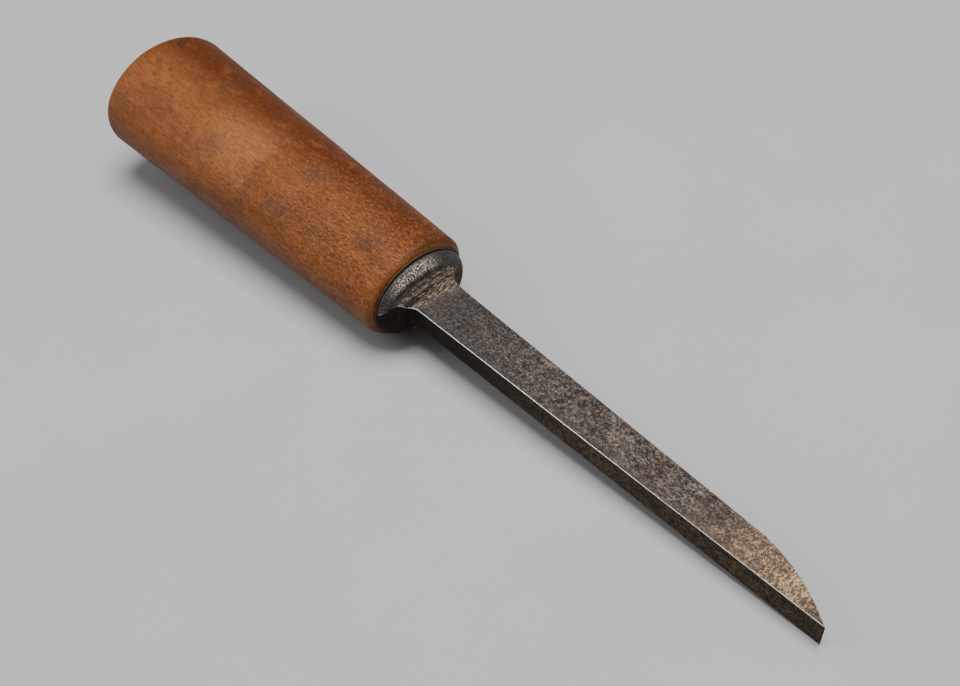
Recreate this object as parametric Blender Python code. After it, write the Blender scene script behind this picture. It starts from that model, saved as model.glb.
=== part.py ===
"""Oval-bolster mortise chisel, lying on its side as it rests on a bench.

The tool frame has +X from the handle to the cutting edge, the flat back facing -Y and the blade's
thickness along Z. Its origin is on the handle's axis, at the end of the wood that meets the washer.
The whole tool is then tipped nose down, so that it rests on the belly of the handle and the toe of
the blade, and it is centred over the world origin. Sizes are in metres.
"""

import math

import bmesh
import bpy
from mathutils import Vector

MM = 0.001
GAP = 0.3 * MM              # clearance between pieces that touch on the real tool
SIDE_STEPS = 22             # facets along each round side of an oval section
WORN_FLAT = math.radians(14)    # half the angle of the flats worn along its top and its belly

# Handle: an oval taper with a crowned butt, half sizes across the back (Y) and across the sides (Z)
HANDLE_LENGTH = 128.4 * MM
HANDLE_NECK = (17.6 * MM, 14.4 * MM)
HANDLE_BUTT = (22.9 * MM, 17.75 * MM)
CROWN_HEIGHT = 8.6 * MM
CROWN_FULLNESS = 2.3        # 2 is an ellipse, more is squarer
NECK_CHAMFER = 1.4 * MM

# Leather washer, squeezed between the wood and the bolster
WASHER_THICKNESS = 0.9 * MM
WASHER_HALF = (15.3 * MM, 12.8 * MM)

# Bolster: sections from the seat to the heel, as
# (distance from the seat, near edge, far edge, half height, fullness)
SEAT = WASHER_THICKNESS + 2 * GAP
BOLSTER_SECTIONS = (
    (0.0 * MM, -14.9 * MM, 14.6 * MM, 12.4 * MM, 2.0),
    (0.7 * MM, -14.7 * MM, 14.4 * MM, 12.2 * MM, 2.0),
    (2.6 * MM, -13.1 * MM, 12.7 * MM, 9.1 * MM, 2.3),
    (4.6 * MM, -11.2 * MM, 10.3 * MM, 5.4 * MM, 3.0),
    (6.3 * MM, -7.8 * MM, 8.6 * MM, 4.2 * MM, 5.0),
    (8.8 * MM, -7.0 * MM, 6.6 * MM, 3.4 * MM, 8.0),
)

# Blade: its length is from the wood to the cutting edge, its depth from the flat back to the far edge
BLADE_LENGTH = 142.7 * MM
BLADE_START = 4.0 * MM      # hidden in the bolster
HEEL = 8.0 * MM
BACK_AT_HEEL = -7.3 * MM
BACK_AT_EDGE = -5.7 * MM
FAR_AT_HEEL = 6.9 * MM
FAR_AT_BEVEL = 3.7 * MM
THICKNESS_AT_HEEL = 7.1 * MM
THICKNESS_AT_EDGE = 7.6 * MM
BEVEL_START = 118.6 * MM
BEVEL_SAGITTA = 1.6 * MM    # how far the bevel bulges from its chord
BEVEL_STEPS = 14

# Steel facing, laid along the flat back
FACING_START = 14.0 * MM
FACING_THICKNESS = 2.2 * MM

# Tang: a tapered square spike, driven into a hole of the same taper
TANG_LENGTH = 82.0 * MM
TANG_ROOT = 8.0 * MM
TANG_TIP = 3.6 * MM


def lerp(start, end, share):
    return start + (end - start) * share


def back_line(x):
    return lerp(BACK_AT_HEEL, BACK_AT_EDGE, (x - HEEL) / (BLADE_LENGTH - HEEL))


def far_line(x):
    return lerp(FAR_AT_HEEL, FAR_AT_BEVEL, (x - HEEL) / (BEVEL_START - HEEL))


def half_thickness(x):
    return lerp(THICKNESS_AT_HEEL, THICKNESS_AT_EDGE, (x - HEEL) / (BLADE_LENGTH - HEEL)) / 2


def material(name, color, roughness, metallic):
    made = bpy.data.materials.new(name)
    made.use_nodes = True
    shader = made.node_tree.nodes["Principled BSDF"]
    shader.inputs["Base Color"].default_value = (*color, 1.0)
    shader.inputs["Roughness"].default_value = roughness
    shader.inputs["Metallic"].default_value = metallic
    return made


def oval(x, near, far, half_height, fullness=2.0):
    """A ring at x, between two edges in Y, with a flat at the top and at the bottom."""
    middle = (near + far) / 2
    half_width = (far - near) / 2
    reach = math.pi / 2 - WORN_FLAT
    ring = []
    for side in (0.0, math.pi):
        for step in range(SIDE_STEPS + 1):
            angle = side + lerp(-reach, reach, step / SIDE_STEPS)
            across = math.copysign(abs(math.cos(angle)) ** (2 / fullness), math.cos(angle))
            up = math.copysign(abs(math.sin(angle)) ** (2 / fullness), math.sin(angle))
            ring.append(Vector((x, middle + half_width * across, half_height * up)))
    return ring


def square(x, side):
    half = side / 2
    return [Vector((x, y * half, z * half)) for y, z in ((-1, -1), (1, -1), (1, 1), (-1, 1))]


def finish(name, mesh_data, look, round_shape):
    bmesh.ops.recalc_face_normals(mesh_data, faces=mesh_data.faces)
    mesh = bpy.data.meshes.new(name)
    mesh_data.to_mesh(mesh)
    mesh_data.free()
    mesh.materials.append(look)
    if round_shape:
        mesh.shade_smooth()
        mesh.set_sharp_from_angle(angle=math.radians(35))
    piece = bpy.data.objects.new(name, mesh)
    bpy.context.scene.collection.objects.link(piece)
    return piece


def loft(name, rings, look, round_shape=True):
    """A closed skin through the rings, capped at both ends."""
    shape = bmesh.new()
    loops = [[shape.verts.new(point) for point in ring] for ring in rings]
    for first, second in zip(loops, loops[1:]):
        count = len(first)
        for index in range(count):
            following = (index + 1) % count
            shape.faces.new((first[index], first[following], second[following], second[index]))
    shape.faces.new(loops[0])
    shape.faces.new(loops[-1])
    return finish(name, shape, look, round_shape)


def plate(name, outline, look):
    """A slab of the blade's thickness with the given outline in X and Y."""
    shape = bmesh.new()
    loops = []
    for side in (-1, 1):
        loops.append([shape.verts.new((x, y, side * half_thickness(x))) for x, y in outline])
    for index in range(len(outline)):
        following = (index + 1) % len(outline)
        shape.faces.new((loops[0][index], loops[0][following], loops[1][following], loops[1][index]))
    shape.faces.new(loops[0])
    shape.faces.new(loops[1])
    return finish(name, shape, look, round_shape=False)


def combine(piece, other, operation):
    """Cut or join with another object, which is then only a guide."""
    modifier = piece.modifiers.new(other.name, "BOOLEAN")
    modifier.operation = operation
    modifier.solver = "EXACT"
    modifier.object = other
    other.hide_render = True
    other.display_type = "WIRE"


def bevel_curve():
    """Points along the convex bevel, from its start to the cutting edge."""
    start = Vector((BEVEL_START, FAR_AT_BEVEL))
    end = Vector((BLADE_LENGTH, BACK_AT_EDGE))
    chord = end - start
    radius = chord.length ** 2 / (8 * BEVEL_SAGITTA) + BEVEL_SAGITTA / 2
    inward = Vector((chord.y, -chord.x)).normalized()
    centre = (start + end) / 2 + inward * (radius - BEVEL_SAGITTA)
    first = math.atan2(start.y - centre.y, start.x - centre.x)
    last = math.atan2(end.y - centre.y, end.x - centre.x)
    points = []
    for step in range(BEVEL_STEPS + 1):
        angle = lerp(first, last, step / BEVEL_STEPS)
        points.append((centre.x + radius * math.cos(angle), centre.y + radius * math.sin(angle)))
    return points


def seam_on_bevel(offset):
    """Where a line at this offset from the flat back meets the bevel, and the points on each side."""
    curve = bevel_curve()
    for index, (before, after) in enumerate(zip(curve, curve[1:])):
        above = before[1] - back_line(before[0]) - offset
        below = after[1] - back_line(after[0]) - offset
        if above >= 0 > below:
            share = above / (above - below)
            meeting = (lerp(before[0], after[0], share), lerp(before[1], after[1], share))
            return meeting, curve[:index + 1], curve[index + 1:]
    return curve[-1], curve, []


def handle_rings():
    body_length = HANDLE_LENGTH - CROWN_HEIGHT

    def half_sizes(depth):
        share = depth / HANDLE_LENGTH
        return [lerp(neck, butt, share) for neck, butt in zip(HANDLE_NECK, HANDLE_BUTT)]

    neck = [size - NECK_CHAMFER for size in HANDLE_NECK]
    rings = [oval(0, -neck[0], neck[0], neck[1])]
    for depth in (NECK_CHAMFER, 0.25 * body_length, 0.5 * body_length, 0.75 * body_length, body_length):
        across, up = half_sizes(depth)
        rings.append(oval(-depth, -across, across, up))
    across, up = half_sizes(body_length)
    crown_steps = 8
    for step in range(1, crown_steps):
        rise = math.sin(0.5 * math.pi * step / crown_steps)
        share = (1 - rise ** CROWN_FULLNESS) ** (1 / CROWN_FULLNESS)
        rings.append(oval(-body_length - CROWN_HEIGHT * rise, -across * share, across * share, up * share))
    tip_share = 0.12
    rings.append(oval(-HANDLE_LENGTH, -across * tip_share, across * tip_share, up * tip_share))
    return rings


def make_tang_hole():
    """Cutter for the burnt-in tang hole, used by the handle and the washer."""
    clearance = 2 * GAP
    rings = [square(SEAT + 5 * MM, TANG_ROOT + clearance), square(0, TANG_ROOT + clearance)]
    rings.append(square(-TANG_LENGTH - GAP, TANG_TIP + clearance))
    return loft("tang_hole", rings, material("tang_hole", (0.1, 0.1, 0.1), 0.5, 0.0), round_shape=False)


def make_handle(hole):
    beech = material("beech", (0.36, 0.17, 0.08), 0.5, 0.0)
    handle = loft("beech_handle", handle_rings(), beech)
    combine(handle, hole, "DIFFERENCE")
    return handle


def make_washer(hole):
    leather = material("leather", (0.09, 0.03, 0.02), 0.75, 0.0)
    across, up = WASHER_HALF
    rings = [oval(x, -across, across, up) for x in (GAP, GAP + WASHER_THICKNESS)]
    washer = loft("leather_washer", rings, leather)
    combine(washer, hole, "DIFFERENCE")
    return washer


def make_blade_body():
    iron = material("wrought_iron", (0.16, 0.13, 0.11), 0.5, 1.0)
    rings = [oval(SEAT + x, near, far, height, fullness)
             for x, near, far, height, fullness in BOLSTER_SECTIONS]
    body = loft("blade_body", rings, iron)

    seam, bevel_above, _ = seam_on_bevel(FACING_THICKNESS + GAP)
    step = FACING_START - GAP
    outline = [
        (BLADE_START, back_line(BLADE_START)),
        (step, back_line(step)),
        (step, back_line(step) + FACING_THICKNESS + GAP),
        seam,
        *reversed(bevel_above),
        (BLADE_START, far_line(BLADE_START)),
    ]
    combine(body, plate("blade_bar", outline, iron), "UNION")

    tang_rings = [square(SEAT + 1 * MM, TANG_ROOT), square(0, TANG_ROOT), square(-TANG_LENGTH, TANG_TIP)]
    combine(body, loft("tang", tang_rings, iron, round_shape=False), "UNION")
    return body


def make_facing():
    steel = material("laid_steel", (0.25, 0.23, 0.21), 0.4, 1.0)
    seam, _, bevel_below = seam_on_bevel(FACING_THICKNESS)
    outline = [
        (FACING_START, back_line(FACING_START)),
        *reversed(bevel_below),
        seam,
        (FACING_START, back_line(FACING_START) + FACING_THICKNESS),
    ]
    return plate("steel_facing", outline, steel)


def lay_angle():
    """Tilt at which the toe's lower corner and the handle's belly touch one plane."""
    toe_drop = half_thickness(BLADE_LENGTH)
    angles = []
    for ring in handle_rings():
        lowest = min(point.z for point in ring)
        angles.append(math.atan2(-lowest - toe_drop, BLADE_LENGTH - ring[0].x))
    return max(angles)


def rest_on_bench(pieces):
    """Tip the tool about Y and put its box's bottom centre on the origin."""
    tool = bpy.data.objects.new("tool_frame", None)
    bpy.context.scene.collection.objects.link(tool)
    for piece in bpy.context.scene.objects:
        if piece is not tool:
            piece.parent = tool
    tool.rotation_euler = (0.0, lay_angle(), 0.0)
    bpy.context.view_layer.update()
    depsgraph = bpy.context.evaluated_depsgraph_get()
    corners = []
    for piece in pieces:
        evaluated = piece.evaluated_get(depsgraph)
        corners += [evaluated.matrix_world @ vertex.co for vertex in evaluated.data.vertices]
    low = [min(corner[axis] for corner in corners) for axis in range(3)]
    high = [max(corner[axis] for corner in corners) for axis in range(3)]
    tool.location = (-(low[0] + high[0]) / 2, -(low[1] + high[1]) / 2, -low[2])


def main():
    for leftover in list(bpy.data.objects):
        bpy.data.objects.remove(leftover, do_unlink=True)
    hole = make_tang_hole()
    pieces = [make_handle(hole), make_washer(hole), make_blade_body(), make_facing()]
    rest_on_bench(pieces)


main()
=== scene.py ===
"""Looks of an oval-bolster mortise chisel: beech handle, leather washer, forged blade.

Shapes are made in the tool frame, in millimetres: +X from the wood's end to the cutting edge, the flat
back facing -Y, the blade's thickness along Z. They are then laid on the bench where the CAD model lies.
"""

import math

import bmesh
import bpy
import numpy as np
from mathutils import Matrix, Vector, noise


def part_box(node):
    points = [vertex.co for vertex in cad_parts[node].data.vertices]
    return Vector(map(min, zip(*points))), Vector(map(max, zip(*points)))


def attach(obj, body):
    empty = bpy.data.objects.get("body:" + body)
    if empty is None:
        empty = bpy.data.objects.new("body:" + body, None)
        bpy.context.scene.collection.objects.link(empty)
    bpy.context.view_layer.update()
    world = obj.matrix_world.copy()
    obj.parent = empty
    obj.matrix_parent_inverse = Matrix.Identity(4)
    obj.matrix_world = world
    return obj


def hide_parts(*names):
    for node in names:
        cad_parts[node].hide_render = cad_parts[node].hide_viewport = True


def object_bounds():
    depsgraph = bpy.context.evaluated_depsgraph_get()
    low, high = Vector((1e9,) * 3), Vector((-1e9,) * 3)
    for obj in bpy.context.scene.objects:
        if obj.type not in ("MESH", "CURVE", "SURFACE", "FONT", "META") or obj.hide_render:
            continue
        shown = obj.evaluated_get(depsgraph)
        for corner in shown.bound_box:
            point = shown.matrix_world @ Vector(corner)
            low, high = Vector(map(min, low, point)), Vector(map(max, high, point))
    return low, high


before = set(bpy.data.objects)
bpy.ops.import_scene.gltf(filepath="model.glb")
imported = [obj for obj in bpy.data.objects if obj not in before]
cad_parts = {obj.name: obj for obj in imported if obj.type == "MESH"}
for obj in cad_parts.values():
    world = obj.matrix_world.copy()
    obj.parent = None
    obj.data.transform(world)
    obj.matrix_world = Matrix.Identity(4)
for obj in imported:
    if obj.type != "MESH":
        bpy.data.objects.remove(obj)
cad_low, cad_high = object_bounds()

MM = 0.001
SHARP_ANGLE = math.radians(50)    # edges steeper than this are not shaded smooth

# Handle
HANDLE_LENGTH = 128.4
HANDLE_NECK = (17.6, 14.4)
HANDLE_BUTT = (22.9, 17.75)
CROWN_HEIGHT = 8.6
CROWN_FULLNESS = 2.3
WORN_FLAT = math.radians(14)

# Bolster and washer
SEAT = 0.9
BOLSTER = (
    # x, near edge, far edge, half height, near corner's height, far corner's height,
    # squareness, flatness of the near side
    (0.90, -15.62, 15.00, 11.95, 2.20, 3.00, 0.00, 0.0),
    (1.15, -15.80, 15.10, 12.12, 2.30, 3.00, 0.00, 0.3),
    (1.80, -15.75, 15.00, 11.80, 2.50, 3.20, 0.00, 0.8),
    (2.60, -15.35, 14.50, 10.95, 2.95, 3.60, 0.02, 1.0),
    (3.40, -14.85, 13.80, 9.85, 3.70, 4.00, 0.06, 1.0),
    (4.10, -14.30, 13.00, 8.75, 4.60, 4.30, 0.12, 1.0),
    (4.80, -13.70, 12.00, 7.95, 5.15, 4.50, 0.25, 1.0),
    (5.50, -12.95, 10.70, 7.10, 5.25, 4.60, 0.42, 1.0),
    (6.10, -12.05, 9.50, 6.20, 5.15, 4.60, 0.60, 1.0),
    (6.70, -11.00, 8.40, 5.35, 4.70, 4.50, 0.74, 1.0),
    (7.30, -10.05, 7.60, 4.75, 4.25, 4.30, 0.85, 1.0),
    (8.00, -9.00, 7.00, 4.30, 3.85, 4.10, 0.93, 1.0),
    (8.70, -8.00, 6.85, 3.95, 3.70, 3.80, 0.97, 1.0),
    (9.40, -7.45, 6.85, 3.75, 3.62, 3.70, 1.00, 1.0),
    (10.20, -7.27, 6.84, 3.60, 3.60, 3.60, 1.00, 1.0),
)
HEEL_SLANT = 0.19      # how far the near side of the heel leans back to the wood, per unit of width
LOWER_CORNER = 4.0     # the most that the near side's lower corner stands off the middle
WASHER_HALF = (15.40, 12.45)
WASHER_SHIFT = -0.3    # towards the near side
WASHER_POINTS = 184
WASHER_PROFILE = (
    # x, share of the way from the hole to the outer edge
    (0.04, 0.0), (0.04, 0.5), (0.04, 0.99), (0.22, 1.005), (0.42, 1.01), (0.62, 1.005),
    (0.80, 0.99), (0.80, 0.5), (0.80, 0.0),
)

# Blade
BLADE_LENGTH = 142.7
HEEL = 8.0
BACK_AT_HEEL = -7.3
BACK_AT_EDGE = -5.7
FAR_AT_HEEL = 6.9
FAR_AT_BEVEL = 3.7
THICKNESS_AT_HEEL = 7.1
THICKNESS_AT_EDGE = 7.6
BEVEL_START = 118.6
BEVEL_SAGITTA = 1.6
ARRIS = 0.17           # how much of each corner is rounded over
BOLSTER_STEP = 0.09    # between sections
BLADE_STEP = 0.46
TOE_REACH = 4.0        # sections crowd together over this last length

# Tang, hidden in the handle
TANG_LENGTH = 82.0
TANG_ROOT = 8.0
TANG_TIP = 3.6
TANG_CLEARANCE = 0.3

# How the tool lies: nose down by this angle, on the toe and the handle's belly
LAY = math.radians(4.05193)
handle_low, handle_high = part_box("beech_handle")
toe_half = THICKNESS_AT_EDGE / 2
ORIGIN = Vector((
    cad_high.x - MM * (BLADE_LENGTH * math.cos(LAY) + toe_half * math.sin(LAY)),
    (handle_low.y + handle_high.y) / 2,
    cad_low.z + MM * (BLADE_LENGTH * math.sin(LAY) + toe_half * math.cos(LAY)),
))
LAID = Matrix.Translation(ORIGIN) @ Matrix.Rotation(LAY, 4, "Y") @ Matrix.Scale(MM, 4)


# Small maths

def lerp(start, end, share):
    return start + (end - start) * share


def ease(low, high, value):
    """0 below low, 1 above high, smooth between."""
    share = np.clip((np.asarray(value, float) - low) / (high - low), 0.0, 1.0)
    return share * share * (3 - 2 * share)


def bump_between(low, high, value, soft):
    return ease(low - soft, low + soft, value) * (1 - ease(high - soft, high + soft, value))


def noise_at(points, scale, seed=0.0, octaves=1):
    """Smooth noise, about -1 to 1, at each point of an (n, 3) array. scale may be one number or three."""
    scaled = np.asarray(points, float) * np.asarray(scale, float) + seed
    if octaves == 1:
        return np.array([noise.noise(Vector(p)) for p in scaled])
    return np.array([noise.fractal(Vector(p), 0.6, 2.0, octaves) for p in scaled])


def back_line(x):
    return lerp(BACK_AT_HEEL, BACK_AT_EDGE, (x - HEEL) / (BLADE_LENGTH - HEEL))


def half_thickness(x):
    return lerp(THICKNESS_AT_HEEL, THICKNESS_AT_EDGE, (x - HEEL) / (BLADE_LENGTH - HEEL)) / 2


def far_line(x):
    """The blade's far edge: a straight taper, then the convex bevel down to the cutting edge."""
    if x <= BEVEL_START:
        return lerp(FAR_AT_HEEL, FAR_AT_BEVEL, (x - HEEL) / (BEVEL_START - HEEL))
    start = Vector((BEVEL_START, FAR_AT_BEVEL))
    end = Vector((BLADE_LENGTH, BACK_AT_EDGE))
    chord = end - start
    radius = chord.length ** 2 / (8 * BEVEL_SAGITTA) + BEVEL_SAGITTA / 2
    inward = Vector((chord.y, -chord.x)).normalized()
    centre = (start + end) / 2 + inward * (radius - BEVEL_SAGITTA)
    return centre.y + math.sqrt(max(radius ** 2 - (x - centre.x) ** 2, 0.0))


# Making pieces

def make_piece(name, rings, attributes=None, closed_ends=True):
    """A skin over a (rings, points, 3) array in tool millimetres, laid on the bench.

    attributes holds a (rings, points) array for each name.
    """
    rings = np.asarray(rings, float)
    count, points = rings.shape[:2]
    vertices = [tuple(v) for v in rings.reshape(-1, 3)]
    faces = []
    for row in range(count - 1):
        for column in range(points):
            after = (column + 1) % points
            faces.append((row * points + column, row * points + after,
                          (row + 1) * points + after, (row + 1) * points + column))
    poles = []
    for row in (0, count - 1) if closed_ends else ():
        poles.append((row, len(vertices)))
        vertices.append(tuple(rings[row].mean(axis=0)))
    for row, pole in poles:
        for column in range(points):
            after = (column + 1) % points
            pair = (row * points + after, row * points + column)
            faces.append((pole, *pair) if row == 0 else (pole, *reversed(pair)))
    mesh = bpy.data.meshes.new(name)
    mesh.from_pydata(vertices, [], faces)
    mesh.transform(LAID)
    for label, values in (attributes or {}).items():
        layer = mesh.attributes.new(label, "FLOAT", "POINT")
        flat = list(np.asarray(values, float).reshape(-1))
        for row, _ in poles:
            flat.append(float(np.asarray(values)[row].mean()))
        layer.data.foreach_set("value", flat)
    mesh.validate()
    mesh.shade_smooth()
    piece = bpy.data.objects.new(name, mesh)
    bpy.context.scene.collection.objects.link(piece)
    return piece


def face_outwards(piece):
    shape = bmesh.new()
    shape.from_mesh(piece.data)
    bmesh.ops.recalc_face_normals(shape, faces=shape.faces)
    shape.to_mesh(piece.data)
    shape.free()


def install(piece, look, slot, *nodes):
    piece.data.materials.clear()
    piece.data.materials.append(look)
    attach(piece, "root")
    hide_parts(*nodes)


# Materials

class Look:
    """A Principled material with short ways to add nodes."""

    def __init__(self, name):
        self.material = bpy.data.materials.new(name)
        self.material.use_nodes = True
        self.nodes = self.material.node_tree.nodes
        self.links = self.material.node_tree.links
        self.shader = self.nodes["Principled BSDF"]
        coordinates = self.nodes.new("ShaderNodeTexCoord")
        to_tool = self.nodes.new("ShaderNodeMapping")
        to_tool.vector_type = "TEXTURE"
        to_tool.inputs["Location"].default_value = ORIGIN
        to_tool.inputs["Rotation"].default_value = (0.0, LAY, 0.0)
        to_tool.inputs["Scale"].default_value = (MM, MM, MM)
        self.link(coordinates.outputs["Object"], to_tool.inputs["Vector"])
        self.place = to_tool.outputs["Vector"]
        self.wandering = self.wander(0.35, 2.6)

    def link(self, source, target):
        self.links.new(source, target)

    def feed(self, socket, value):
        """Sets a socket from another socket, a color or a number."""
        if isinstance(value, bpy.types.NodeSocket):
            self.link(value, socket)
        elif isinstance(value, tuple):
            socket.default_value = (*value, 1.0)
        else:
            socket.default_value = value

    def wander(self, scale, reach):
        """The tool frame's place, pushed about by noise, for ragged stains."""
        drift = self.nodes.new("ShaderNodeTexNoise")
        self.link(self.place, drift.inputs["Vector"])
        drift.inputs["Scale"].default_value = scale
        drift.inputs["Detail"].default_value = 3.0
        push = self.nodes.new("ShaderNodeVectorMath")
        push.operation = "MULTIPLY_ADD"
        self.link(drift.outputs["Color"], push.inputs[0])
        push.inputs[1].default_value = (reach, reach, reach)
        centred = self.nodes.new("ShaderNodeVectorMath")
        centred.operation = "SUBTRACT"
        self.link(self.place, centred.inputs[0])
        centred.inputs[1].default_value = (reach / 2, reach / 2, reach / 2)
        self.link(centred.outputs["Vector"], push.inputs[2])
        return push.outputs["Vector"]

    def stretched(self, stretch, offset=(0.0, 0.0, 0.0)):
        node = self.nodes.new("ShaderNodeMapping")
        node.inputs["Scale"].default_value = stretch
        node.inputs["Location"].default_value = offset
        self.link(self.place, node.inputs["Vector"])
        return node.outputs["Vector"]

    def noise(self, scale, stretch=(1, 1, 1), detail=2.0, roughness=0.5, distortion=0.0, seed=0.0):
        node = self.nodes.new("ShaderNodeTexNoise")
        self.link(self.stretched(stretch, (seed, seed * 0.7, seed * 1.3)), node.inputs["Vector"])
        node.inputs["Scale"].default_value = scale
        node.inputs["Detail"].default_value = detail
        node.inputs["Roughness"].default_value = roughness
        node.inputs["Distortion"].default_value = distortion
        return node.outputs["Fac"]

    def cells(self, stretch, seed):
        """The distance to the nearest of many scattered points."""
        node = self.nodes.new("ShaderNodeTexVoronoi")
        self.link(self.stretched(stretch, (seed, seed * 0.7, seed * 1.3)), node.inputs["Vector"])
        node.inputs["Scale"].default_value = 1.0
        return node.outputs["Distance"]

    def attribute(self, name):
        node = self.nodes.new("ShaderNodeAttribute")
        node.attribute_name = name
        return node.outputs["Fac"]

    def axis(self, name):
        node = self.nodes.new("ShaderNodeSeparateXYZ")
        self.link(self.place, node.inputs["Vector"])
        return node.outputs[name]

    def ramp(self, value, low, high, to_low=0.0, to_high=1.0):
        node = self.nodes.new("ShaderNodeMapRange")
        node.interpolation_type = "SMOOTHSTEP"
        self.link(value, node.inputs["Value"])
        node.inputs["From Min"].default_value = low
        node.inputs["From Max"].default_value = high
        node.inputs["To Min"].default_value = to_low
        node.inputs["To Max"].default_value = to_high
        return node.outputs["Result"]

    def math(self, operation, first, second):
        node = self.nodes.new("ShaderNodeMath")
        node.operation = operation
        self.feed(node.inputs[0], first)
        self.feed(node.inputs[1], second)
        return node.outputs["Value"]

    def plus(self, first, second):
        return self.math("ADD", first, second)

    def times(self, first, second):
        return self.math("MULTIPLY", first, second)

    def line(self, value, low, high):
        """1 midway between low and high, 0 outside them."""
        middle = (low + high) / 2
        return self.times(self.ramp(value, low, middle), self.ramp(value, middle, high, 1.0, 0.0))

    def mix(self, share, first, second):
        node = self.nodes.new("ShaderNodeMix")
        node.data_type = "RGBA"
        self.feed(node.inputs["Factor"], share)
        self.feed(node.inputs["A"], first)
        self.feed(node.inputs["B"], second)
        return node.outputs["Result"]

    def spot(self, centre, size):
        """1 at a point of the tool frame, falling to 0 at the given half sizes."""
        node = self.nodes.new("ShaderNodeMapping")
        node.vector_type = "TEXTURE"
        node.inputs["Location"].default_value = centre
        node.inputs["Scale"].default_value = size
        self.link(self.wandering, node.inputs["Vector"])
        length = self.nodes.new("ShaderNodeVectorMath")
        length.operation = "LENGTH"
        self.link(node.outputs["Vector"], length.inputs[0])
        return self.ramp(length.outputs["Value"], 0.15, 1.0, 1.0, 0.0)

    def bump(self, height, distance, strength, below=None):
        node = self.nodes.new("ShaderNodeBump")
        node.inputs["Strength"].default_value = strength
        node.inputs["Distance"].default_value = distance
        self.link(height, node.inputs["Height"])
        if below is not None:
            self.link(below, node.inputs["Normal"])
        return node.outputs["Normal"]

    def set(self, socket, value):
        self.feed(self.shader.inputs[socket], value)


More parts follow.
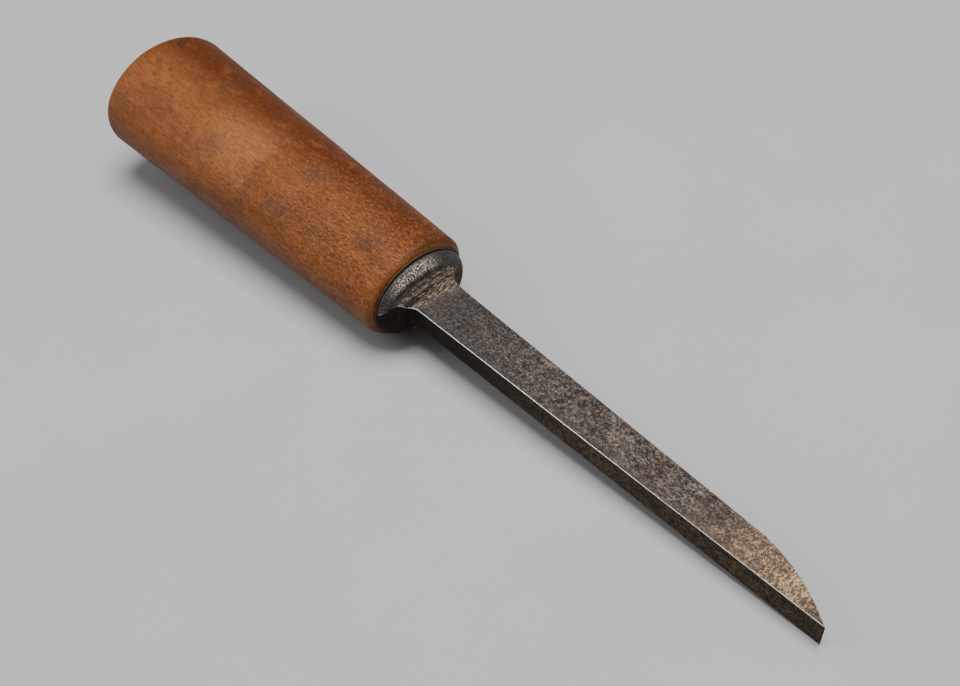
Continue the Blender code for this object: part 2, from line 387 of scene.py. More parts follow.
def beech_look():
    """Old beech: orange-brown, mottled by hands and iron, with dark ray flecks along the grain, and painted
    shade on its underside, its far side and its end by the washer.
    """
    look = Look("beech")
    x, y, z = look.axis("X"), look.axis("Y"), look.axis("Z")
    broad = look.noise(0.05, (0.5, 1, 1), 4, 0.6, 0.5, 3.0)
    blotch = look.noise(0.14, (0.7, 1, 1), 4, 0.65, 0.8, 9.0)
    streak = look.noise(1.0, (0.05, 0.8, 0.8), 4, 0.65, 0.3, 1.0)
    color = look.mix(look.ramp(broad, 0.35, 0.65), (0.205, 0.061, 0.016), (0.335, 0.103, 0.027))
    color = look.mix(look.ramp(streak, 0.35, 0.75, 0.0, 0.55), color, (0.40, 0.145, 0.043))
    # Darker and redder towards the far side: partly the wood's own patina, partly painted shade where the
    # handle turns from the light.
    far_side = look.plus(y, look.times(broad, 8.0))
    color = look.mix(look.ramp(far_side, -2.0, 14.0, 0.0, 0.93), color, (0.105, 0.019, 0.002))
    gold_start = look.ramp(look.plus(x, look.times(blotch, 12.0)), -84.0, -66.0)
    gold_end = look.ramp(look.plus(x, look.times(blotch, 2.0)), -59.0, -57.0, 1.0, 0.0)
    gold = look.times(look.times(gold_start, gold_end), look.spot((-68, -8, 13), (60, 15, 18)))
    color = look.mix(look.times(gold, 0.85), color, (0.400, 0.160, 0.054))
    color = look.mix(look.ramp(blotch, 0.50, 0.68, 0.0, 0.42), color, (0.150, 0.062, 0.030))
    for centre, size, share in (
        ((-43, 1, 15.5), (9, 5, 6), 0.45),
        ((-43, -14, 10.5), (9, 6, 6), 0.55),
        ((-28, -12.6, 11), (7, 4, 5), 0.40),
        ((-12, -4, 14), (9, 7, 6), 0.45),
        ((-77, -12.0, 13), (7, 5, 5), 0.50),
        ((-92, 6.0, 15), (9, 6, 6), 0.35),
        ((-116.5, -19.4, 8.7), (6, 5, 6), 0.40),
    ):
        color = look.mix(look.times(look.spot(centre, size), share), color, (0.120, 0.062, 0.040))
    for centre, size, share in (
        ((-119.4, 7.4, 16.2), (3.2, 2.0, 4.0), 0.95),
        ((-112.7, -7.2, 16.4), (2.2, 1.8, 3.0), 0.6),
        ((-116.5, -3.3, 17.2), (1.6, 1.3, 3.0), 0.5),
        ((-36.0, 5.4, 14.7), (3.0, 1.2, 3.0), 0.5),
    ):
        color = look.mix(look.times(look.spot(centre, size), share), color, (0.045, 0.020, 0.012))
    rubbed = look.noise(0.25, (0.6, 1, 1), 3, 0.6, 0.4, 14.0)
    color = look.mix(look.ramp(rubbed, 0.52, 0.75, 0.0, 0.40), color, (0.44, 0.15, 0.052))
    near_bolster = look.ramp(x, -80.0, -15.0, 0.38, 1.0)
    patchy = look.ramp(look.noise(0.22, (0.5, 1, 1), 3, 0.6, 0.0, 12.0), 0.30, 0.62, 0.55, 1.0)
    flecks = None
    for stretch, seed, reach in (((0.55, 2.4, 2.4), 5.0, 0.44), ((0.42, 3.3, 3.3), 31.0, 0.36)):
        layer = look.ramp(look.cells(stretch, seed), 0.14, reach, 1.0, 0.0)
        flecks = layer if flecks is None else look.math("MAXIMUM", flecks, layer)
    flecks = look.times(look.times(flecks, near_bolster), patchy)
    color = look.mix(flecks, color, (0.036, 0.011, 0.003))
    lights = look.ramp(look.cells((0.55, 2.6, 2.6), 21.0), 0.10, 0.42, 0.75, 0.0)
    color = look.mix(look.times(lights, near_bolster), color, (0.60, 0.23, 0.08))
    fine = look.noise(3.5, (0.12, 1, 1), 4, 0.7)
    color = look.mix(look.ramp(fine, 0.42, 0.66, 0.0, 0.68), color, (0.085, 0.026, 0.008))
    # Painted shade: darker towards the handle's underside.
    color = look.mix(look.ramp(z, -9.0, 5.0, 0.80, 0.0), color, (0.070, 0.025, 0.009))
    rim_side = look.ramp(y, -7.0, 3.0)
    rim = look.times(look.ramp(x, -1.15, -0.75), rim_side)
    rim_wood = look.mix(look.ramp(fine, 0.35, 0.6), (0.235, 0.105, 0.028), (0.040, 0.017, 0.005))
    color = look.mix(look.times(rim, 0.85), color, rim_wood)
    rim_line = look.line(x, -1.5, -0.9)
    rim_line = look.times(rim_line, look.times(rim_side, look.ramp(streak, 0.3, 0.6, 0.4, 1.0)))
    color = look.mix(rim_line, color, (0.05, 0.018, 0.006))
    # Painted shade on the wood's end, where it meets the washer.
    joint_shade = look.ramp(x, -0.10, 0.0, 0.0, 0.35)
    color = look.mix(joint_shade, color, (0.022, 0.010, 0.006))
    look.set("Base Color", color)
    look.set("Roughness", look.ramp(look.plus(fine, blotch), 0.7, 1.3, 0.46, 0.62))
    look.set("Specular IOR Level", 0.17)
    grain = look.math("SUBTRACT", fine, look.times(flecks, 0.8))
    look.set("Normal", look.bump(grain, 0.10 * MM, 0.55))
    return look.material


def leather_look():
    look = Look("leather")
    fibres = look.noise(2.2, (1, 1, 1), 4, 0.7, 0.5)
    layers = look.noise(4.0, (3.0, 0.4, 0.4), 3, 0.6)
    outer = look.mix(look.ramp(fibres, 0.38, 0.60), (0.210, 0.100, 0.034), (0.035, 0.014, 0.006))
    # Painted shade: the washer's half towards the bolster is dark, where the bolster shades it.
    color = look.mix(look.ramp(look.axis("X"), 0.50, 0.66), outer, (0.010, 0.006, 0.005))
    look.set("Base Color", color)
    look.set("Roughness", look.ramp(fibres, 0.3, 0.7, 0.85, 0.6))
    look.set("Specular IOR Level", 0.25)
    look.set("Normal", look.bump(look.plus(fibres, layers), 0.25 * MM, 0.7))
    return look.material


def blade_look():
    """Old forged iron: brown-black patina, tan speckle towards the toe, rubbed bright on its arrises; with
    painted highlights on the arrises, the bolster's dome and its ridges, and painted shade on the narrow
    faces, the unlit dome and the grooves.
    """
    look = Look("forged_iron")
    x = look.axis("X")
    worn = look.attribute("worn")
    side = look.attribute("side")
    dome = look.attribute("dome")
    ridge = look.attribute("ridge")
    groove = look.attribute("groove")
    broad = look.noise(0.13, (1, 1, 1), 4, 0.6, 0.6, 2.0)
    patches = look.noise(0.36, (0.8, 1, 1), 8, 0.80, 0.15, 7.0)
    speckle = look.noise(1.7, (0.75, 1, 1), 6, 0.80, 0.1, 4.0)
    grit = look.noise(2.1, (1, 1, 1), 3, 0.75, 0.0, 8.0)
    toe = look.ramp(look.plus(x, look.times(broad, 24.0)), 110.0, 148.0)
    heel = look.ramp(x, 16.0, 50.0, 1.0, 0.0)
    pale = look.mix(look.ramp(broad, 0.35, 0.62), (0.160, 0.135, 0.118), (0.230, 0.180, 0.142))
    dark = look.mix(look.ramp(speckle, 0.35, 0.65), (0.014, 0.010, 0.011), (0.042, 0.033, 0.031))
    mottle = look.ramp(look.plus(look.times(patches, 0.7), look.times(speckle, 0.3)),
                       0.42, 0.60)
    color = look.mix(look.times(mottle, 0.60), pale, dark)
    scale_spots = look.noise(0.62, (0.8, 1, 1), 5, 0.72, 0.1, 81.0)
    color = look.mix(look.ramp(scale_spots, 0.48, 0.56, 0.0, 0.72), color, (0.028, 0.023, 0.024))
    color = look.mix(look.ramp(scale_spots, 0.36, 0.45, 0.45, 0.0), color, (0.290, 0.225, 0.170))
    grain = look.noise(1.5, (0.8, 1, 1), 4, 0.75, 0.0, 51.0)
    pits = look.ramp(look.noise(2.2, (0.9, 1, 1), 3, 0.7, 0.0, 61.0), 0.49, 0.57, 0.0, 0.82)
    clustered = look.plus(look.times(grain, 0.7), look.times(patches, 0.3))
    color = look.mix(look.ramp(clustered, 0.41, 0.47, 0.62, 0.0), color, (0.370, 0.290, 0.222))
    color = look.mix(look.ramp(clustered, 0.51, 0.57, 0.0, 0.82), color, (0.020, 0.015, 0.014))
    color = look.mix(pits, color, (0.022, 0.017, 0.016))
    color = look.mix(look.times(heel, 0.75), color,
                     look.mix(look.ramp(grain, 0.36, 0.62), (0.086, 0.078, 0.072), (0.021, 0.019, 0.019)))
    color = look.mix(look.times(toe, 0.60), color, (0.200, 0.130, 0.080))
    spots = look.noise(1.9, (1.0, 0.7, 1), 4, 0.75, 0.0, 71.0)
    clusters = look.noise(0.30, (0.8, 1, 1), 4, 0.65, 0.0, 77.0)
    spots = look.plus(look.times(spots, 0.75), look.times(clusters, 0.25))
    tan_share = look.times(look.ramp(spots, 0.42, 0.52, 1.0, 0.0), look.times(toe, 0.92))
    color = look.mix(tan_share, color, (0.92, 0.60, 0.32))
    toe_pits = look.times(toe, look.ramp(look.noise(1.7, (1.0, 0.8, 1), 3, 0.7, 0.0, 33.0), 0.48, 0.60))
    color = look.mix(look.times(toe_pits, 0.60), color, (0.060, 0.040, 0.028))
    rust = look.times(look.ramp(broad, 0.45, 0.65), look.ramp(speckle, 0.35, 0.55, 0.4, 0.0))
    color = look.mix(rust, color, (0.13, 0.075, 0.045))
    tip_dark = look.times(look.ramp(x, 133.5, 139.5), look.ramp(speckle, 0.40, 0.58, 0.95, 0.35))
    color = look.mix(tip_dark, color, (0.040, 0.030, 0.028))
    band = look.math("SUBTRACT", look.axis("Y"), look.times(x, 0.0119))
    facing = look.times(look.ramp(band, -5.5, -4.5, 1.0, 0.0), look.ramp(x, 9.0, 20.0))
    steel = look.mix(look.ramp(speckle, 0.35, 0.7), (0.040, 0.036, 0.033), (0.105, 0.092, 0.082))
    color = look.mix(look.times(facing, 0.25), color, steel)

    fibres = look.noise(1.0, (3.0, 0.45, 1.0), 5, 0.75, 0.0, 15.0)
    ridge_metal_and_glints = look.mix(look.ramp(look.noise(0.35, (1, 1, 1), 3, 0.6, 0.3, 25.0), 0.42, 0.60),
                           (0.085, 0.066, 0.052), (0.230, 0.155, 0.105))
    # Painted glints: cream streaks along the crests of the forging ridges, over the brown ridged iron.
    crest_glints = look.noise(1.6, (2.4, 0.34, 1.0), 4, 0.70, 0.0, 45.0)
    ridge_metal_and_glints = look.mix(look.ramp(crest_glints, 0.51, 0.61, 0.0, 0.85), ridge_metal_and_glints, (0.90, 0.70, 0.54))
    ridge_metal_and_glints = look.mix(look.ramp(fibres, 0.50, 0.58, 0.0, 0.90), ridge_metal_and_glints, (0.026, 0.020, 0.017))
    color = look.mix(look.times(ridge, 0.85), color, ridge_metal_and_glints)
    # Painted highlight: a bright stippled band where the bolster's dome faces the light; the rest of the
    # dome gets a darker copy as painted shade.
    stipple_grain = look.noise(2.9, (1, 0.8, 1), 2, 0.7, 0.0, 18.0)
    dome_highlight = look.mix(look.ramp(stipple_grain, 0.42, 0.54), (1.0, 0.85, 0.70), (0.032, 0.027, 0.023))
    dome_shade = look.mix(look.ramp(grit, 0.40, 0.60), (0.115, 0.103, 0.094), (0.030, 0.026, 0.024))
    on_dome = look.times(look.ramp(x, 3.6, 4.4, 1.0, 0.0), side)
    color = look.mix(on_dome, color, dome_shade)
    color = look.mix(look.times(dome, 0.95), color, dome_highlight)
    # Darker in the fuller and hammer grooves: dark oxide in the hollows, deepened as painted shade.
    color = look.mix(look.times(groove, 0.80), color, (0.034, 0.025, 0.019))

    # The narrow back and front faces get a darker brown than the cheeks: the iron's own mottling, darkened
    # further as painted shade for faces turned from the light.
    clouds = look.noise(0.30, (0.5, 1, 1), 5, 0.7, 0.6, 17.0)
    dark_face = look.mix(look.ramp(clouds, 0.35, 0.65), (0.062, 0.044, 0.028), (0.128, 0.091, 0.058))
    dark_face = look.mix(look.ramp(grain, 0.46, 0.56, 0.0, 0.85), dark_face, (0.010, 0.007, 0.005))
    # Painted shade: the near face is darker towards the heel, by the bolster.
    near_face_shade = look.times(look.ramp(x, 16.0, 72.0, 0.85, 0.0), look.ramp(look.axis("Y"), 1.0, 6.0, 1.0, 0.15))
    dark_face = look.mix(near_face_shade, dark_face, (0.008, 0.006, 0.005))
    color = look.mix(side, dark_face, color)
    # The arrises are rubbed bright, and painted near white as a highlight along them.
    rubbing = look.noise(0.7, (0.4, 1, 1), 4, 0.65, 0.0, 5.0)
    bright = look.times(worn, look.ramp(rubbing, 0.30, 0.52, 0.5, 1.0))
    color = look.mix(bright, color, (0.98, 0.95, 0.90))
    look.set("Base Color", color)
    metal = look.plus(look.times(side, 0.45), look.times(worn, 0.35))
    look.set("Metallic", look.math("MINIMUM", metal, 1.0))
    rough = look.plus(look.ramp(speckle, 0.3, 0.7, 0.40, 0.58), look.times(groove, 0.25))
    rough = look.plus(rough, look.times(look.math("SUBTRACT", 1.0, side), 0.40))
    look.set("Roughness", look.math("SUBTRACT", rough, look.times(bright, 0.14)))
    look.set("Specular IOR Level", 0.18)
    relief = look.plus(look.times(mottle, -0.7), look.times(speckle, 0.8))
    relief = look.plus(relief, look.times(grit, 0.25))
    lower = look.bump(relief, 0.11 * MM, 0.75)
    stipple = look.times(look.noise(2.6, (1, 1, 1), 3, 0.7, 0.0, 3.0), look.math("MAXIMUM", dome, ridge))
    look.set("Normal", look.bump(stipple, 0.35 * MM, 0.9, lower))
    return look.material


def floor_look():
    look = Look("bench")
    grain = look.noise(0.02, (1, 1, 1), 2, 0.5)
    look.set("Base Color", look.mix(grain, (0.52, 0.52, 0.525), (0.56, 0.56, 0.56)))
    look.set("Roughness", 0.7)
    look.set("Specular IOR Level", 0.2)
    return look.material


# Handle

HANDLE_SIZES = {
    "Length": HANDLE_LENGTH,
    "Neck Half Width": HANDLE_NECK[0],
    "Neck Half Height": HANDLE_NECK[1],
    "Butt Half Width": HANDLE_BUTT[0],
    "Butt Half Height": HANDLE_BUTT[1],
    "Crown Height": CROWN_HEIGHT,
    "Crown Fullness": CROWN_FULLNESS,
    "Extra Fullness": 1.15,
    "Worn Flat": math.cos(WORN_FLAT),
    "Top Fullness": 0.93,
    "Rim Length": 2.6,
    "Rim Inset Width": 2.15,
    "Rim Inset Height": 1.90,
    "Hole Depth": TANG_LENGTH + TANG_CLEARANCE,
    "Hole Mouth": TANG_ROOT + 2 * TANG_CLEARANCE,
    "Hole Bottom": TANG_TIP + 2 * TANG_CLEARANCE,
    "Hand Wear": 0.20,
}
POINTS_AROUND = 193
HANDLE_RINGS = {"bottom": 1, "hole": 9, "face": 13, "rim": 27, "body": 227, "crown": 262}
BUTT_NICKS = (
    # centre, half sizes, depth
    ((-118.1, 7.0, 16.6), (2.6, 1.2, 3.0), 0.55),
    ((-113.8, 3.6, 17.1), (1.6, 1.1, 2.5), 0.30),
    ((-122.5, -14.0, 9.5), (2.6, 3.0, 3.0), 0.35),
    ((-36.0, 5.4, 14.7), (2.4, 0.6, 2.0), 0.15),
    ((-17.0, -13.8, 9.7), (3.2, 0.5, 1.2), 0.18),
)


class Shaper:
    """A Geometry Nodes tree that shapes a piece from named sizes."""

    def __init__(self, name):
        self.group = bpy.data.node_groups.new(name, "GeometryNodeTree")
        self.group.interface.new_socket("Geometry", in_out="OUTPUT", socket_type="NodeSocketGeometry")
        self.sizes = {}

    def ask(self, names):
        for name in names:
            socket = self.group.interface.new_socket(name, in_out="INPUT", socket_type="NodeSocketFloat")
            self.sizes[name] = socket.identifier
        given = self.group.nodes.new("NodeGroupInput")
        return {name: Amount(self, given.outputs[name]) for name in names}

    def node(self, kind, settings=None, **inputs):
        made = self.group.nodes.new(kind)
        for setting, value in (settings or {}).items():
            setattr(made, setting, value)
        for label, value in inputs.items():
            self.feed(made.inputs[label.replace("_", " ")], value)
        return made

    def feed(self, socket, value):
        if isinstance(value, Amount):
            value = value.socket
        if isinstance(value, bpy.types.NodeSocket):
            self.group.links.new(value, socket)
        else:
            socket.default_value = value

    def math(self, operation, *values):
        made = self.group.nodes.new("ShaderNodeMath")
        made.operation = operation
        for socket, value in zip(made.inputs, values):
            self.feed(socket, value)
        return Amount(self, made.outputs[0])

    def vector_math(self, operation, *values):
        made = self.node("ShaderNodeVectorMath", {"operation": operation})
        for socket, value in zip(made.inputs, values):
            self.feed(socket, value)
        return made

    def ramp(self, value, low, high, to_low=0.0, to_high=1.0):
        made = self.node("ShaderNodeMapRange", {"interpolation_type": "SMOOTHSTEP"}, Value=value,
                         From_Min=low, From_Max=high, To_Min=to_low, To_Max=to_high)
        return Amount(self, made.outputs["Result"])

    def stage(self, ring, start, end):
        """0 before the ring start, 1 from the ring end on."""
        made = self.node("ShaderNodeMapRange", Value=ring, From_Min=float(start), From_Max=float(end))
        return Amount(self, made.outputs["Result"])

    def make(self, name, sizes, look):
        """The finished mesh, in the tool frame's millimetres."""
        holder = bpy.data.objects.new(name, bpy.data.meshes.new(name))
        bpy.context.scene.collection.objects.link(holder)
        holder.data.materials.append(look)
        shaping = holder.modifiers.new(name, "NODES")
        shaping.node_group = self.group
        for label, identifier in self.sizes.items():
            shaping[identifier] = float(sizes[label])
        finished = holder.evaluated_get(bpy.context.evaluated_depsgraph_get())
        mesh = bpy.data.meshes.new_from_object(finished)
        bpy.data.objects.remove(holder)
        mesh.name = name
        return mesh


class Amount:
    """A number inside a Shaper's tree."""

    def __init__(self, shaper, socket):
        self.shaper = shaper
        self.socket = socket

    def __add__(self, other):
        return self.shaper.math("ADD", self, other)

    def __sub__(self, other):
        return self.shaper.math("SUBTRACT", self, other)

    def __mul__(self, other):
        return self.shaper.math("MULTIPLY", self, other)

    def __truediv__(self, other):
        return self.shaper.math("DIVIDE", self, other)

    def power(self, other):
        return self.shaper.math("POWER", self, other)

    def other(self):
        """One minus this number."""
        return self.shaper.math("SUBTRACT", 1.0, self)


def shape_handle(look):
    """The oval handle: a square hole for the tang, a rounded rim, a straight taper and a crowned butt."""
    shaper = Shaper("oval_handle")
    size = shaper.ask(HANDLE_SIZES)
    rings = HANDLE_RINGS["crown"]
    grid = shaper.node("GeometryNodeMeshGrid", Size_X=1.0, Size_Y=1.0,
                       Vertices_X=rings + 1, Vertices_Y=POINTS_AROUND)
    place = shaper.node("ShaderNodeSeparateXYZ", Vector=shaper.node("GeometryNodeInputPosition").outputs[0])
    ring = shaper.math("ROUND", (Amount(shaper, place.outputs["X"]) + 0.5) * rings)
    angle = (Amount(shaper, place.outputs["Y"]) + 0.5) * (2 * math.pi)
    across = shaper.math("COSINE", angle)
    up = shaper.math("SINE", angle)
    marks = [0] + list(HANDLE_RINGS.values())
    bottom, hole, face, rim, body, crown = (
        shaper.stage(ring, start, end) for start, end in zip(marks, marks[1:]))

    quarter = math.pi / 2
    rim_edge = shaper.ramp(across + up * 0.4, -0.2, 0.7, 1.0, 1.6)
    rim_rise = shaper.math("MAXIMUM", shaper.math("SINE", rim * quarter), 0.0).power(rim_edge)
    rim_fall = shaper.math("MAXIMUM", shaper.math("COSINE", rim * quarter), 0.0).power(rim_edge)
    crown_rise = shaper.math("SINE", crown * quarter)
    top_side = shaper.ramp(across * 0.8 + up * 0.6, -0.35, 1.1)
    fullness = size["Crown Fullness"] + size["Extra Fullness"] * top_side
    spread = shaper.math("MAXIMUM", crown_rise.power(fullness).other(), 0.0)
    spread = spread.power(shaper.math("DIVIDE", 1.0, fullness))

    straight = size["Length"] - size["Crown Height"] - size["Rim Length"]
    outside_x = (size["Rim Length"] * rim_fall.other() + straight * body
                 + size["Crown Height"] * crown_rise) * -1.0
    x = outside_x - size["Hole Depth"] * hole.other()
    taper = outside_x / size["Length"] * -1.0
    width = size["Neck Half Width"] + (size["Butt Half Width"] - size["Neck Half Width"]) * taper
    height = size["Neck Half Height"] + (size["Butt Half Height"] - size["Neck Half Height"]) * taper
    width = (width - size["Rim Inset Width"] * rim_rise.other()) * spread
    height = (height - size["Rim Inset Height"] * rim_rise.other()) * spread
    raised = shaper.math("MAXIMUM", up, 0.0).power(size["Top Fullness"]) * size["Worn Flat"]
    lowered = shaper.math("SMOOTH_MAX", up, size["Worn Flat"] * -1.0, 0.02)
    flat_up = raised + shaper.math("MINIMUM", lowered, 0.0)

    reach = shaper.math("MAXIMUM", shaper.math("ABSOLUTE", across), shaper.math("ABSOLUTE", up))
    half_hole = (size["Hole Bottom"] + (size["Hole Mouth"] - size["Hole Bottom"]) * hole) * bottom * 0.5
    y = half_hole * across / reach * face.other() + width * across * face
    z = half_hole * up / reach * face.other() + height * flat_up * face

    def combined(y_value, z_value):
        return shaper.node("ShaderNodeCombineXYZ", X=x, Y=y_value, Z=z_value).outputs["Vector"]

    def lumps(stretch, shift):
        moved = shaper.vector_math("MULTIPLY_ADD", combined(y, z), stretch, (shift, shift, shift))
        made = shaper.node("ShaderNodeTexNoise", Vector=moved.outputs["Vector"], Scale=1.0, Detail=1.0)
        return Amount(shaper, made.outputs["Fac"])

    worn = size["Hand Wear"] * (lumps((0.02, 0.09, 0.09), 4.0) + lumps((0.09, 0.25, 0.25), 9.0) * 0.45)
    for centre, half_size, depth in BUTT_NICKS:
        offset = shaper.vector_math("SUBTRACT", combined(y, z), centre)
        scaled = shaper.vector_math("DIVIDE", offset.outputs["Vector"], half_size)
        length = shaper.vector_math("LENGTH", scaled.outputs["Vector"])
        worn = worn + shaper.ramp(length.outputs["Value"], 0.1, 1.0, depth, 0.0)
    radius = shaper.math("MAXIMUM", shaper.math("SQRT", y * y + z * z), 0.01)
    shrink = (worn * rim * shaper.stage(radius, 4.0, 11.0) / radius).other()

    moved = shaper.node("GeometryNodeSetPosition", Geometry=grid.outputs["Mesh"],
                        Position=combined(y * shrink, z * shrink))
    merged = shaper.node("GeometryNodeMergeByDistance", Geometry=moved.outputs["Geometry"], Distance=0.002)
    smooth = shaper.node("GeometryNodeSetShadeSmooth", Geometry=merged.outputs["Geometry"])
    real = shaper.node("GeometryNodeRealizeInstances", Geometry=smooth.outputs["Geometry"])
    dressed = shaper.node("GeometryNodeSetMaterial", Geometry=real.outputs["Geometry"], Material=look)
    finish = shaper.group.nodes.new("NodeGroupOutput")
    shaper.feed(finish.inputs["Geometry"], dressed.outputs["Geometry"])
    return shaper.make("beech_handle_wood", HANDLE_SIZES, look)


def make_handle():
    look = beech_look()
    mesh = shape_handle(look)
    mesh.transform(LAID)
    handle = bpy.data.objects.new("beech_handle_wood", mesh)
    bpy.context.scene.collection.objects.link(handle)
    face_outwards(handle)
    handle.data.set_sharp_from_angle(angle=SHARP_ANGLE)
    install(handle, look, "beech", "beech_handle")


# Washer

def oval_ring(x, across, up):
    angles = np.linspace(0, 2 * math.pi, WASHER_POINTS, endpoint=False)
    return np.stack([np.full(WASHER_POINTS, x), across * np.cos(angles), up * np.sin(angles)], axis=1)


def square_ring(x, side):
    angles = np.linspace(0, 2 * math.pi, WASHER_POINTS, endpoint=False)
    reach = np.maximum(np.abs(np.cos(angles)), np.abs(np.sin(angles)))
    return np.stack([np.full(WASHER_POINTS, x), side / 2 * np.cos(angles) / reach,
                     side / 2 * np.sin(angles) / reach], axis=1)


def make_washer():
    """A thin disc of leather, squeezed between the wood and the bolster."""
    hole = TANG_ROOT + 2 * TANG_CLEARANCE
    rings = [lerp(square_ring(x, hole), oval_ring(x, *WASHER_HALF), share) for x, share in WASHER_PROFILE]
    rings = np.array(rings + [rings[0]])
    flat = rings.reshape(-1, 3)
    radius = np.hypot(flat[:, 1], flat[:, 2])
    ripple = noise_at(flat, (1.2, 0.5, 0.5), 2.0) * ease(9.0, 12.0, radius)
    flat[:, 1:] *= (1 + 0.010 * ripple)[:, None]
    flat[:, 1] += WASHER_SHIFT
    rings[-1] = rings[0]
    washer = make_piece("leather_washer_disc", rings, closed_ends=False)
    merge_seam(washer)
    face_outwards(washer)
    install(washer, leather_look(), "leather", "leather_washer")


def merge_seam(piece):
    shape = bmesh.new()
    shape.from_mesh(piece.data)
    bmesh.ops.remove_doubles(shape, verts=shape.verts, dist=1e-7)
    shape.to_mesh(piece.data)
    shape.free()


# Blade

FACES = (("near", 26), ("near_top", 7), ("top", 66), ("far_top", 7),
         ("far", 22), ("far_bottom", 7), ("bottom", 56), ("near_bottom", 7))
FACE_OF_POINT = np.array([name for name, count in FACES for _ in range(count)])


def bolster_at(x):
    """The bolster table's values at x, rounded between its rows."""
    table = np.array(BOLSTER)
    samples = x + np.linspace(-0.3, 0.3, 7) * np.clip((x - SEAT) / 0.4, 0.0, 1.0)
    return [float(np.interp(samples, table[:, 0], table[:, column]).mean()) for column in range(1, 8)]


def dome_curve(share, near, far, half, near_corner, far_corner, square):
    """Points over the top from the near corner (share 0) to the far one (share 1)."""
    middle, reach = (near + far) / 2, (far - near) / 2

    def blended(part):
        start = math.pi - math.asin(min(1.0, near_corner / half))
        end = math.asin(min(1.0, far_corner / half))
        angle = lerp(start, end, part)
        y = lerp(middle + reach * np.cos(angle), lerp(near, far, part), square)
        return y, lerp(half * np.sin(angle), half, square)

    y, z = blended(share)
    z = z - (blended(0.0)[1] - near_corner) * np.clip(1 - share / 0.3, 0, 1) ** 2
    z = z - (blended(1.0)[1] - far_corner) * np.clip(1 - (1 - share) / 0.25, 0, 1) ** 2
    return np.column_stack([y, z])


def rounded_corner(before, corner, after, count):
    share = np.linspace(0, 1, count + 2)[1:-1, None]
    return (1 - share) ** 2 * before + 2 * share * (1 - share) * corner + share ** 2 * after


def flat_curve(start, end, reach, bulge, count):
    """A nearly flat side from one corner to the next, bulging outwards by a little."""
    share = np.linspace(0, 1, count)[:, None]
    margin = min(reach / max(float(np.hypot(*(end - start))), 1e-6), 0.45)
    share = margin + share * (1 - 2 * margin)
    points = start + (end - start) * share
    points[:, 0] += (bulge * 4 * share * (1 - share))[:, 0]
    return points


def blade_section(x):
    last = BOLSTER[-1][0]
    near, far, half, near_corner, far_corner, square, flatness = bolster_at(min(x, last))
    blend = float(ease(last - 0.6, last + 0.4, x))
    near = lerp(near, back_line(x), blend)
    far = lerp(far, far_line(x), blend)
    thick = half_thickness(x)
    half, near_corner, far_corner = (lerp(value, thick, blend) for value in (half, near_corner, far_corner))
    square = lerp(square, 1.0, blend)
    radius = min(ARRIS, 0.4 * (far - near))
    lower_near = min(near_corner, lerp(LOWER_CORNER, near_corner, blend))
    counts = dict(FACES)

    def over(near_height, count):
        margin = min(radius / (far - near), 0.3)
        shares = np.concatenate([[0.0], np.linspace(margin, 1 - margin, count), [1.0]])
        return dome_curve(shares, near, far, half, near_height, far_corner, square)

    top = over(near_corner, counts["top"])
    bottom = (over(lower_near, counts["bottom"]) * (1, -1))[::-1]
    reach = (far - near) / 2
    near_bulge = (1 - flatness) * chord_gap(reach, half, near_corner)
    far_bulge = (1 - square) * chord_gap(reach, half, far_corner)
    near_side = flat_curve(bottom[-1], top[0], radius, -near_bulge, counts["near"])
    far_side = flat_curve(top[-1], bottom[0], radius, far_bulge, counts["far"])
    section = np.concatenate([
        near_side,
        rounded_corner(near_side[-1], top[0], top[1], counts["near_top"]),
        top[1:-1],
        rounded_corner(top[-2], top[-1], far_side[0], counts["far_top"]),
        far_side,
        rounded_corner(far_side[-1], bottom[0], bottom[1], counts["far_bottom"]),
        bottom[1:-1],
        rounded_corner(bottom[-2], bottom[-1], near_side[0], counts["near_bottom"]),
    ])
    return np.column_stack([np.full(len(section), x), section])


def chord_gap(reach, half, corner):
    """How far an oval stands beyond the chord between its corners."""
    return reach * (1 - math.sqrt(max(0.0, 1 - min(1.0, corner / half) ** 2)))


GROOVES = (
    # x at the near side, x at the far side, depth, half width, strength near, middle, far
    (3.85, 4.30, 0.42, 0.42, 1.0, 1.0, 0.4),
    (4.55, 4.75, 0.12, 0.12, 0.9, 0.6, 0.2),
    (5.05, 5.45, 0.26, 0.11, 0.2, 1.3, 0.3),
    (6.05, 6.55, 0.30, 0.15, 1.2, 0.5, 1.1),
    (6.60, 6.95, 0.14, 0.10, 0.1, 0.9, 0.6),
    (7.35, 7.40, 0.08, 0.09, 0.9, 0.5, 0.8),
    (7.95, 8.05, 0.06, 0.09, 0.7, 0.7, 0.5),
)


def forge_grooves(shape):
    """Depth, in millimetres, of the fuller and hammer marks that run across the bolster."""
    x, y = shape[:, 0], shape[:, 1]
    drift = 0.16 * noise_at(shape, (0.0, 0.22, 0.0), 3.0) + 0.08 * noise_at(shape, (0.5, 1.0, 0.0), 6.0)
    cut = np.zeros(len(shape))
    for order, (near_x, far_x, depth, width, near, middle, far) in enumerate(GROOVES):
        at = np.interp(y, (-11, 9), (near_x, far_x))
        strength = np.interp(y, (-12, -1, 9), (near, middle, far))
        strength = strength * (0.7 + 1.1 * noise_at(shape, (0.2, 0.5, 0.0), 11.0 + order * 3.7, 2))
        own_drift = 0.14 * noise_at(shape, (0.0, 0.35, 0.0), 40.0 + order * 5.3)
        cut += depth * np.clip(strength, 0.0, 1.4) * np.exp(-((x + drift + own_drift - at) / width) ** 2)
    return cut


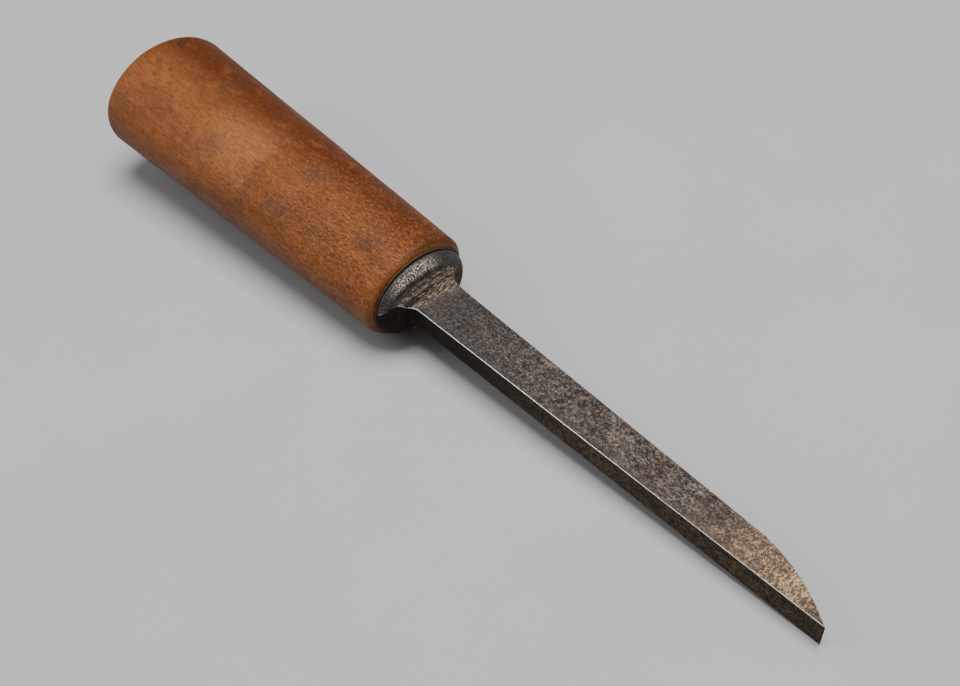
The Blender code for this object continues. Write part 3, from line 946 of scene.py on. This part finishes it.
def make_tang():
    """Rings of the square tang, from its tip to its root, and out over the seat."""
    start = blade_section(SEAT)
    angle = np.arctan2(start[:, 2], start[:, 1])
    across, up = np.cos(angle), np.sin(angle)
    reach = np.maximum(np.abs(across), np.abs(up))
    square = np.column_stack([across / reach, up / reach])
    rings = []
    for depth in np.linspace(TANG_LENGTH, 0.0, 10):
        side = lerp(TANG_ROOT, TANG_TIP, depth / TANG_LENGTH)
        rings.append(np.column_stack([np.full(len(square), -depth), square * side / 2]))
    root = np.column_stack([np.full(len(square), SEAT), square * TANG_ROOT / 2])
    return rings + [root, lerp(root, start, 0.4), lerp(root, start, 0.8)]


def blade_stations():
    bolster_end = 12.0
    toe = BLADE_LENGTH - TOE_REACH
    return np.concatenate([
        np.arange(SEAT, bolster_end, BOLSTER_STEP),
        np.arange(bolster_end, toe, BLADE_STEP),
        toe + TOE_REACH * np.sin(0.5 * math.pi * np.linspace(0, 0.985, 16)),
    ])


def forge(shape, station, face, solid):
    """Works the plain skin in place: slant, grooves, pitting, ragged bevel. Gives the grooves' depth."""
    slant = ease(6.1, 8.3, station) * (1 - ease(11.0, 17.0, station))
    shape[:, 0] += solid * HEEL_SLANT * (shape[:, 1] + 0.2) * slant

    sides = np.isin(face, ("near", "far"))
    far_arris = np.isin(face, ("far_top", "far_bottom"))
    over = ~sides
    bolster = solid * (1 - ease(8.6, 10.4, station))
    bar = ease(9.0, 13.0, station) * (1 - ease(BLADE_LENGTH - 3, BLADE_LENGTH - 0.5, station))

    groove = forge_grooves(shape) * bolster * over * ease(-14.8, -12.5, shape[:, 1])
    fibre = noise_at(shape, (3.2, 0.5, 0.0), 5.0, 2) * bolster * ease(3.9, 4.8, station)
    hammer = noise_at(shape, 1.3, 5.0, 3) * bolster * (1 - ease(3.6, 4.2, station)) * ease(1.0, 1.8, station)
    pitting = np.maximum(noise_at(shape, 0.9, 2.0, 3), 0.0) * bar
    waves = noise_at(shape, (0.05, 0.1, 0.1), 7.0) * bar
    cut = groove + 0.13 * fibre + 0.10 * hammer + 0.07 * pitting + 0.04 * waves
    shape[:, 2] -= np.sign(shape[:, 2]) * cut * over * solid
    bevelled = ease(BEVEL_START - 6, BEVEL_START + 6, station)
    ragged = np.maximum(noise_at(shape, (0.8, 0.0, 0.5), 21.0, 2), -0.2) * bevelled * (face == "far")
    chip = np.exp(-((station - 140.6) / 0.7) ** 2 - ((shape[:, 2] - 3.8) / 1.6) ** 2)
    shape[:, 1] -= (0.16 * ragged + 0.45 * chip * (far_arris | (face == "far"))) * solid
    dent = 0.02 * waves + 0.02 * pitting + 0.05 * noise_at(shape, 0.35, 1.0, 2) * bolster
    shape[:, 1] += np.where(face == "near", 1, -1) * dent * sides * solid
    return groove


def iron_marks(shape, station, face, solid, groove):
    """Where the iron is rubbed bright, lit, ridged or grooved, for its look: the bright arrises, lit dome
    and ridges carry painted highlights, and the grooves and tucked-under parts carry painted shade.
    """
    near_arris = np.isin(face, ("near_top", "near_bottom"))
    far_arris = np.isin(face, ("far_top", "far_bottom"))
    over = ~np.isin(face, ("near", "far"))
    along = ease(5.3, 6.3, station)
    forge_line = bump_between(1.6, 3.3, station, 0.3)
    # Painted shade: the lower arrises get little of the bright rubbing, as they lie in shade.
    upper = np.where(shape[:, 2] > 0, 1.0, 0.05 + 0.25 * ease(12.0, 20.0, station))
    forge_line = forge_line * np.clip(0.5 + 1.5 * noise_at(shape, 0.9, 3.0), 0, 1)
    fading = lerp(1.0, 0.6, ease(60.0, 120.0, station))
    # The rubbed arrises also carry a painted highlight.
    worn = near_arris * upper * np.maximum(along, 0.8 * forge_line) * fading
    worn = worn + far_arris * ease(8.5, 10.0, station) * lerp(0.85, 0.35, ease(18.0, 40.0, station))
    # Painted shade: the bolster's lower near part takes the narrow faces' dark colour.
    lower_near = (shape[:, 2] < 0) * (1 - ease(-9.0, -5.0, shape[:, 1]))
    tucked_under_shade = solid * (1 - ease(10.5, 13.5, station)) * lower_near
    lit_dome = solid * over * ease(1.2, 2.3, station) * (1 - ease(3.4, 4.1, station - 0.02 * shape[:, 1]))
    lit_dome = lit_dome * (1 - ease(0.5, 7.5, shape[:, 1])) * ease(-12.8, -7.0, shape[:, 1])
    ridge = solid * over * ease(4.1, 4.9, station) * (1 - ease(7.6, 10.4, station))
    return {
        "worn": worn * solid,
        "side": over * (1 - tucked_under_shade),
        "dome": lit_dome,
        "ridge": ridge * (1 - np.clip(groove / 0.14, 0, 1)),
        "groove": np.clip(groove / 0.26, 0, 1),
    }


def make_blade():
    tang = make_tang()
    rings = np.array(tang + [blade_section(x) for x in blade_stations()])
    shape = rings.reshape(-1, 3)
    face = np.tile(FACE_OF_POINT, len(rings))
    station = shape[:, 0].copy()
    solid = np.repeat(np.arange(len(rings)) >= len(tang), rings.shape[1])    # not the hidden tang
    groove = forge(shape, station, face, solid)
    marks = iron_marks(shape, station, face, solid, groove)
    marks = {label: values.reshape(rings.shape[:2]) for label, values in marks.items()}
    blade = make_piece("forged_blade", rings, marks)
    face_outwards(blade)
    blade.data.set_sharp_from_angle(angle=SHARP_ANGLE)
    install(blade, blade_look(), "wrought_iron", "blade_body", "steel_facing")


# Stage

FLOOR_HALF = 3.0
CAMERA_AT = (0.21277, -0.15604, 0.26635)
CAMERA_RIGHT = (0.67871, 0.73091, -0.07152)
CAMERA_BACK = (0.54497, -0.43598, 0.71619)


def make_floor():
    mesh = bpy.data.meshes.new("bench_top")
    corners = [(x * FLOOR_HALF, y * FLOOR_HALF, cad_low.z) for x, y in ((-1, -1), (1, -1), (1, 1), (-1, 1))]
    mesh.from_pydata(corners, [], [(0, 1, 2, 3)])
    floor = bpy.data.objects.new("bench_top", mesh)
    bpy.context.scene.collection.objects.link(floor)
    mesh.materials.append(floor_look())


def add_light(name, place, size, power):
    """A round soft light that faces the middle of the bench."""
    data = bpy.data.lights.new(name, "AREA")
    data.shape = "DISK"
    data.size = size
    data.energy = power
    light = bpy.data.objects.new(name, data)
    light.location = place
    light.rotation_euler = (-Vector(place)).to_track_quat("-Z", "Y").to_euler()
    bpy.context.scene.collection.objects.link(light)


def make_lights():
    add_light("key", (0.06, 0.12, 1.24), 0.85, 19.2)
    add_light("fill", (-0.75, -0.70, 0.75), 0.9, 4.3)
    world = bpy.data.worlds.new("studio")
    world.use_nodes = True
    background = world.node_tree.nodes["Background"]
    background.inputs["Color"].default_value = (0.9, 0.93, 1.0, 1.0)
    background.inputs["Strength"].default_value = 0.11
    bpy.context.scene.world = world


def make_camera():
    data = bpy.data.cameras.new("camera")
    data.lens = 50.0
    data.sensor_width = 36.0
    camera = bpy.data.objects.new("camera", data)
    back = Vector(CAMERA_BACK).normalized()
    up = back.cross(Vector(CAMERA_RIGHT)).normalized()
    right = up.cross(back)
    turned = Matrix((right, up, back)).transposed().to_4x4()
    camera.matrix_world = Matrix.Translation(CAMERA_AT) @ turned
    bpy.context.scene.collection.objects.link(camera)
    bpy.context.scene.camera = camera


make_camera()
make_handle()
make_washer()
make_blade()
make_floor()
make_lights()

bpy.context.view_layer.update()
